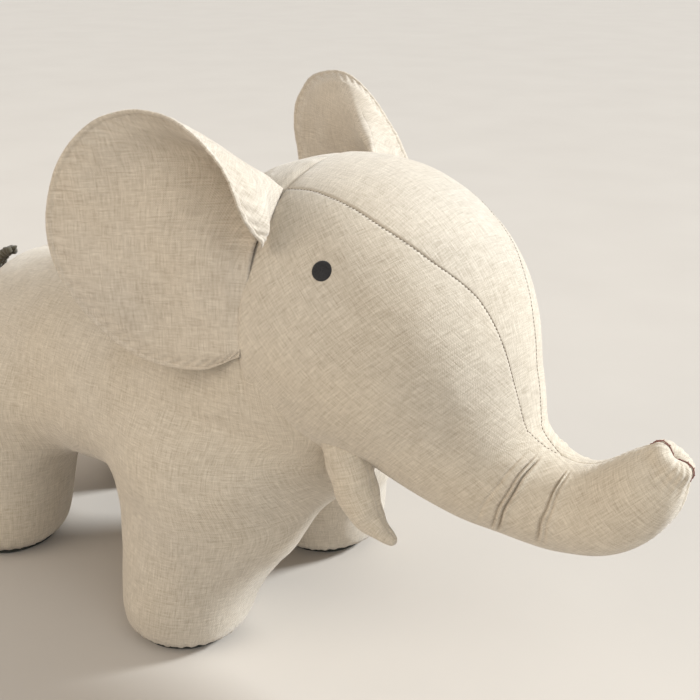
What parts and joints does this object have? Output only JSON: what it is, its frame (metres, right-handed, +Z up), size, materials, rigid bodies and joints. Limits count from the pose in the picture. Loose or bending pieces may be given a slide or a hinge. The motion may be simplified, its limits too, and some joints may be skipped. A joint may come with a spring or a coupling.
{
  "type": "stuffed elephant",
  "caption": "Soft standing elephant toy in plain linen with round ears, stubby tusks, stout legs and a trunk that curls up at the tip.",
  "frame": {"origin": "on the floor, under the middle of the toy's overall length and width", "axes": "+X the way the elephant faces, +Y its left side, +Z up"},
  "size_m": [0.6043, 0.2615, 0.3558],
  "materials": {
    "linen": "natural slubby linen, plain weave, matt",
    "ear_linen": "the same linen, softly creased",
    "fibre_filling": "white polyester fibre filling",
    "ear_wadding": "thin white wadding",
    "dark_felt": "near-black felt",
    "eye_thread": "matt black satin stitch",
    "closing_thread": "red-brown sewing thread"
  },
  "bodies": {
    "torso_and_head": {"torso_filling": "fibre_filling", "head_filling": "fibre_filling", "head_gusset": "linen", "belly_panel": "linen", "head_panel_right": "linen", "body_panel_right": "linen", "eye_right": "eye_thread", "head_panel_left": "linen", "body_panel_left": "linen", "eye_left": "eye_thread", "leg_filling_front_right": "linen", "sole_front_right": "dark_felt", "leg_filling_front_left": "linen", "sole_front_left": "dark_felt", "leg_filling_hind_right": "linen", "sole_hind_right": "dark_felt", "leg_filling_hind_left": "linen", "sole_hind_left": "dark_felt"},
    "trunk_end": {"trunk_filling": "fibre_filling", "trunk_panel_right": "linen", "trunk_panel_left": "linen", "trunk_tip_stitch": "closing_thread"},
    "ear_right": {"ear_right_wadding": "ear_wadding", "ear_right_front": "ear_linen", "ear_right_back": "ear_linen"},
    "tusk_right": {"tusk_right_filling": "fibre_filling", "tusk_right_cover": "linen"},
    "ear_left": {"ear_left_wadding": "ear_wadding", "ear_left_front": "ear_linen", "ear_left_back": "ear_linen"},
    "tusk_left": {"tusk_left_filling": "fibre_filling", "tusk_left_cover": "linen"},
    "tail": {"tail_filling": "fibre_filling", "tail_cover": "linen", "tail_tuft": "dark_felt"}
  },
  "joints": [
    {"name": "trunk_bend", "type": "hinge", "parent": "torso_and_head", "child": "trunk_end", "pos_m": [0.202, 0, 0.144], "axis": [0, 1, 0], "range_deg": [-11, 9], "stiffness_Nm_per_rad": 0.5},
    {"name": "ear_right_flap", "type": "hinge", "parent": "torso_and_head", "child": "ear_right", "pos_m": [0.061, -0.07773, 0.26361], "axis": [0, 0.4067, 0.9135], "range_deg": [-4, 28], "stiffness_Nm_per_rad": 0.15},
    {"name": "tusk_right_sway", "type": "hinge", "parent": "torso_and_head", "child": "tusk_right", "pos_m": [0.114, -0.054, 0.1416], "axis": [1, 0, 0], "range_deg": [-10, 10], "stiffness_Nm_per_rad": 0.02},
    {"name": "ear_left_flap", "type": "hinge", "parent": "torso_and_head", "child": "ear_left", "pos_m": [0.061, 0.07773, 0.26361], "axis": [0, 0.4067, -0.9135], "range_deg": [-4, 28], "stiffness_Nm_per_rad": 0.15},
    {"name": "tusk_left_sway", "type": "hinge", "parent": "torso_and_head", "child": "tusk_left", "pos_m": [0.114, 0.054, 0.1416], "axis": [1, 0, 0], "range_deg": [-10, 10], "stiffness_Nm_per_rad": 0.02},
    {"name": "tail_swing", "type": "hinge", "parent": "torso_and_head", "child": "tail", "pos_m": [-0.27368, 0, 0.19736], "axis": [0, 0, 1], "range_deg": [-35, 35], "stiffness_Nm_per_rad": 0.01}
  ]
}
